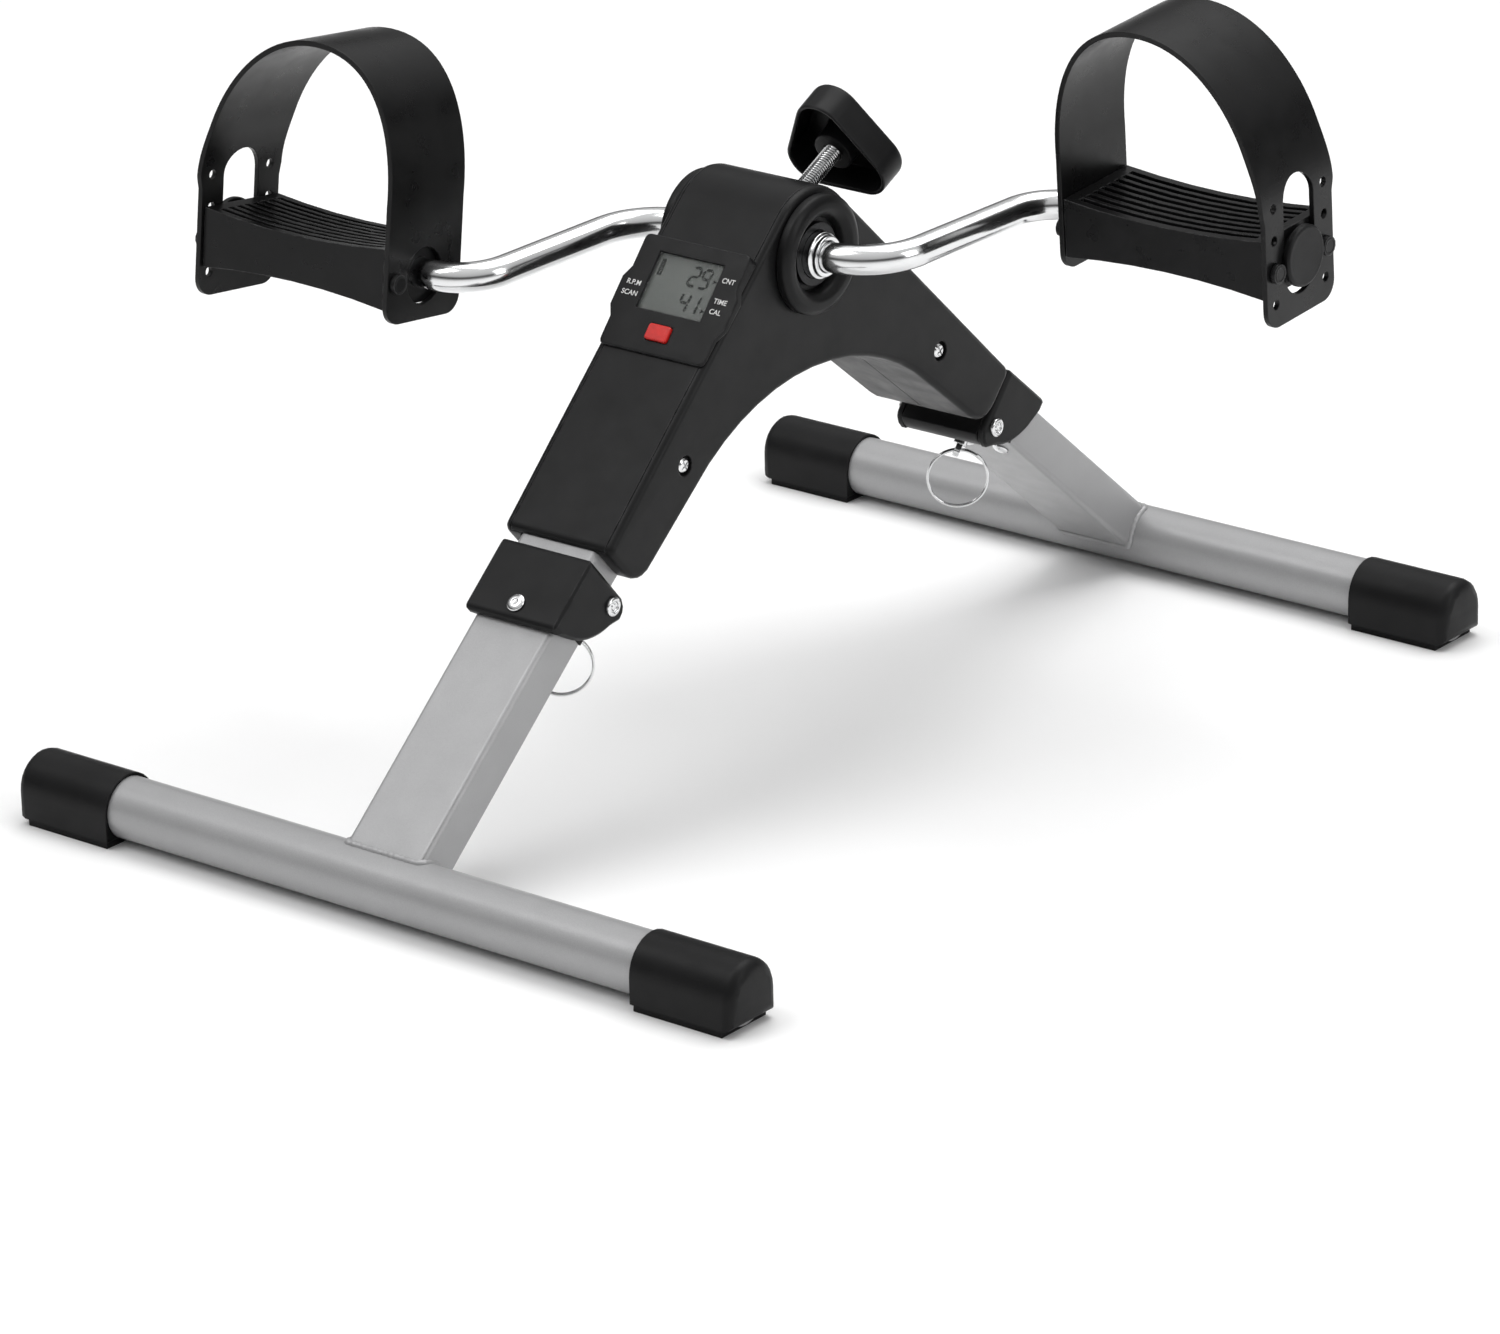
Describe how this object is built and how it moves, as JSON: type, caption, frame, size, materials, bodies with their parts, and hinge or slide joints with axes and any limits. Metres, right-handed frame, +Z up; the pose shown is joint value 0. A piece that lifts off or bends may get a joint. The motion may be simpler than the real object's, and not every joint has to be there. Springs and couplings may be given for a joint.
{
  "type": "folding pedal exerciser",
  "caption": "Folding floor-standing pedal exerciser with strapped pedals on a bent crank, a resistance knob, a small counter and two hinged legs on foot bars.",
  "frame": {"origin": "on the floor, midway between the two foot bars and midway across them", "axes": "+X along the crank axis towards the pedal that rests rearward, +Y from the counter's leg to the knob's leg, +Z up"},
  "size_m": [0.4108, 0.5254, 0.3145],
  "materials": {
    "silver_paint": "satin silver paint",
    "black_plastic": "fine satin grain",
    "chrome": "bright plated",
    "steel": "zinc plated",
    "nylon": "natural nylon",
    "strap_rubber": "soft satin",
    "foot_rubber": "soft satin",
    "felt": "pressed felt",
    "clear_plastic": "clear",
    "lcd": "display grey",
    "circuit_board": "solder mask",
    "red_plastic": "gloss"
  },
  "bodies": {
    "frame": {"main_frame": "silver_paint", "front_hinge_knuckle": "black_plastic", "rear_hinge_knuckle": "black_plastic", "centre_cover": "black_plastic", "right_side_cover": "black_plastic", "left_side_cover": "black_plastic", "cover_screw_right_front": "chrome", "cover_screw_right_rear": "chrome", "cover_screw_left_front": "chrome", "cover_screw_left_rear": "chrome", "right_crank_boss": "black_plastic", "left_crank_boss": "black_plastic", "right_crank_bush": "nylon", "left_crank_bush": "nylon", "reed_sensor": "circuit_board", "tension_nut": "steel", "counter_bezel": "black_plastic", "counter_window": "clear_plastic", "lcd_panel": "lcd", "circuit_board": "circuit_board", "counter_battery": "steel", "counter_back_plate": "black_plastic"},
    "crank": {"crank_rod": "chrome", "right_crank_collar": "chrome", "left_crank_collar": "chrome", "sensor_magnet": "steel"},
    "right_pedal": {"right_pedal_body": "black_plastic", "right_pedal_strap": "strap_rubber", "right_pedal_cap": "black_plastic"},
    "left_pedal": {"left_pedal_body": "black_plastic", "left_pedal_strap": "strap_rubber", "left_pedal_cap": "black_plastic"},
    "brake": {"brake_shoe": "felt"},
    "knob": {"tension_screw": "chrome", "tension_knob": "black_plastic"},
    "button": {"counter_button": "red_plastic"},
    "front_leg": {"front_leg_tube": "silver_paint", "front_foot_tube": "silver_paint", "front_foot_cap_left": "foot_rubber", "front_foot_cap_right": "foot_rubber", "front_hinge_collar": "black_plastic", "front_collar_rivet": "chrome", "front_under_rivet_1": "chrome", "front_under_rivet_2": "chrome", "front_pivot_pin": "chrome"},
    "rear_leg": {"rear_leg_tube": "silver_paint", "rear_foot_tube": "silver_paint", "rear_foot_cap_left": "foot_rubber", "rear_foot_cap_right": "foot_rubber", "rear_hinge_collar": "black_plastic", "rear_collar_rivet": "chrome", "rear_under_rivet_1": "chrome", "rear_under_rivet_2": "chrome", "rear_pivot_pin": "chrome"},
    "front_lock": {"front_lock_pin": "chrome"},
    "rear_lock": {"rear_lock_pin": "chrome"},
    "front_ring": {"front_pull_ring": "chrome"},
    "rear_ring": {"rear_pull_ring": "chrome"}
  },
  "joints": [
    {"name": "crank_spin", "type": "hinge", "parent": "frame", "child": "crank", "pos_m": [0, 0, 0.2155], "axis": [1, 0, 0], "continuous": true},
    {"name": "right_pedal_spin", "type": "hinge", "parent": "crank", "child": "right_pedal", "pos_m": [0.15, 0.09784, 0.22114], "axis": [1, 0, 0], "continuous": true},
    {"name": "left_pedal_spin", "type": "hinge", "parent": "crank", "child": "left_pedal", "pos_m": [-0.15, -0.09784, 0.20986], "axis": [1, 0, 0], "continuous": true},
    {"name": "tension_feed", "type": "slide", "parent": "frame", "child": "brake", "axis": [0, -0.8949, -0.4462], "range_m": [0, 0.0025]},
    {"name": "tension_turn", "type": "hinge", "parent": "brake", "child": "knob", "pos_m": [0, 0, 0.2155], "axis": [0, -0.8949, -0.4462], "range_deg": [0, 720]},
    {"name": "button_press", "type": "slide", "parent": "frame", "child": "button", "axis": [0, 0.749, -0.6626], "range_m": [0, 0.001], "stiffness_N_per_m": 300},
    {"name": "front_leg_fold", "type": "hinge", "parent": "frame", "child": "front_leg", "pos_m": [0, -0.13024, 0.10063], "axis": [1, 0, 0], "range_deg": [0, 100]},
    {"name": "rear_leg_fold", "type": "hinge", "parent": "frame", "child": "rear_leg", "pos_m": [0, 0.13024, 0.10063], "axis": [-1, 0, 0], "range_deg": [0, 100]},
    {"name": "front_pin_push", "type": "slide", "parent": "front_leg", "child": "front_lock", "axis": [0, -0.6481, 0.7615], "range_m": [0, 0.0045]},
    {"name": "rear_pin_push", "type": "slide", "parent": "rear_leg", "child": "rear_lock", "axis": [0, 0.6481, 0.7615], "range_m": [0, 0.0045]},
    {"name": "front_ring_swing", "type": "hinge", "parent": "front_lock", "child": "front_ring", "pos_m": [0, -0.13474, 0.08433], "axis": [-0.788, -0.6157, 0], "range_deg": [-25, 35]},
    {"name": "rear_ring_swing", "type": "hinge", "parent": "rear_lock", "child": "rear_ring", "pos_m": [0, 0.13474, 0.08433], "axis": [0.788, 0.6157, 0], "range_deg": [-25, 35]}
  ],
  "couplings": [
    {"joint": "tension_feed", "follows": "tension_turn", "m_per_rad": 0.00019894}
  ]
}
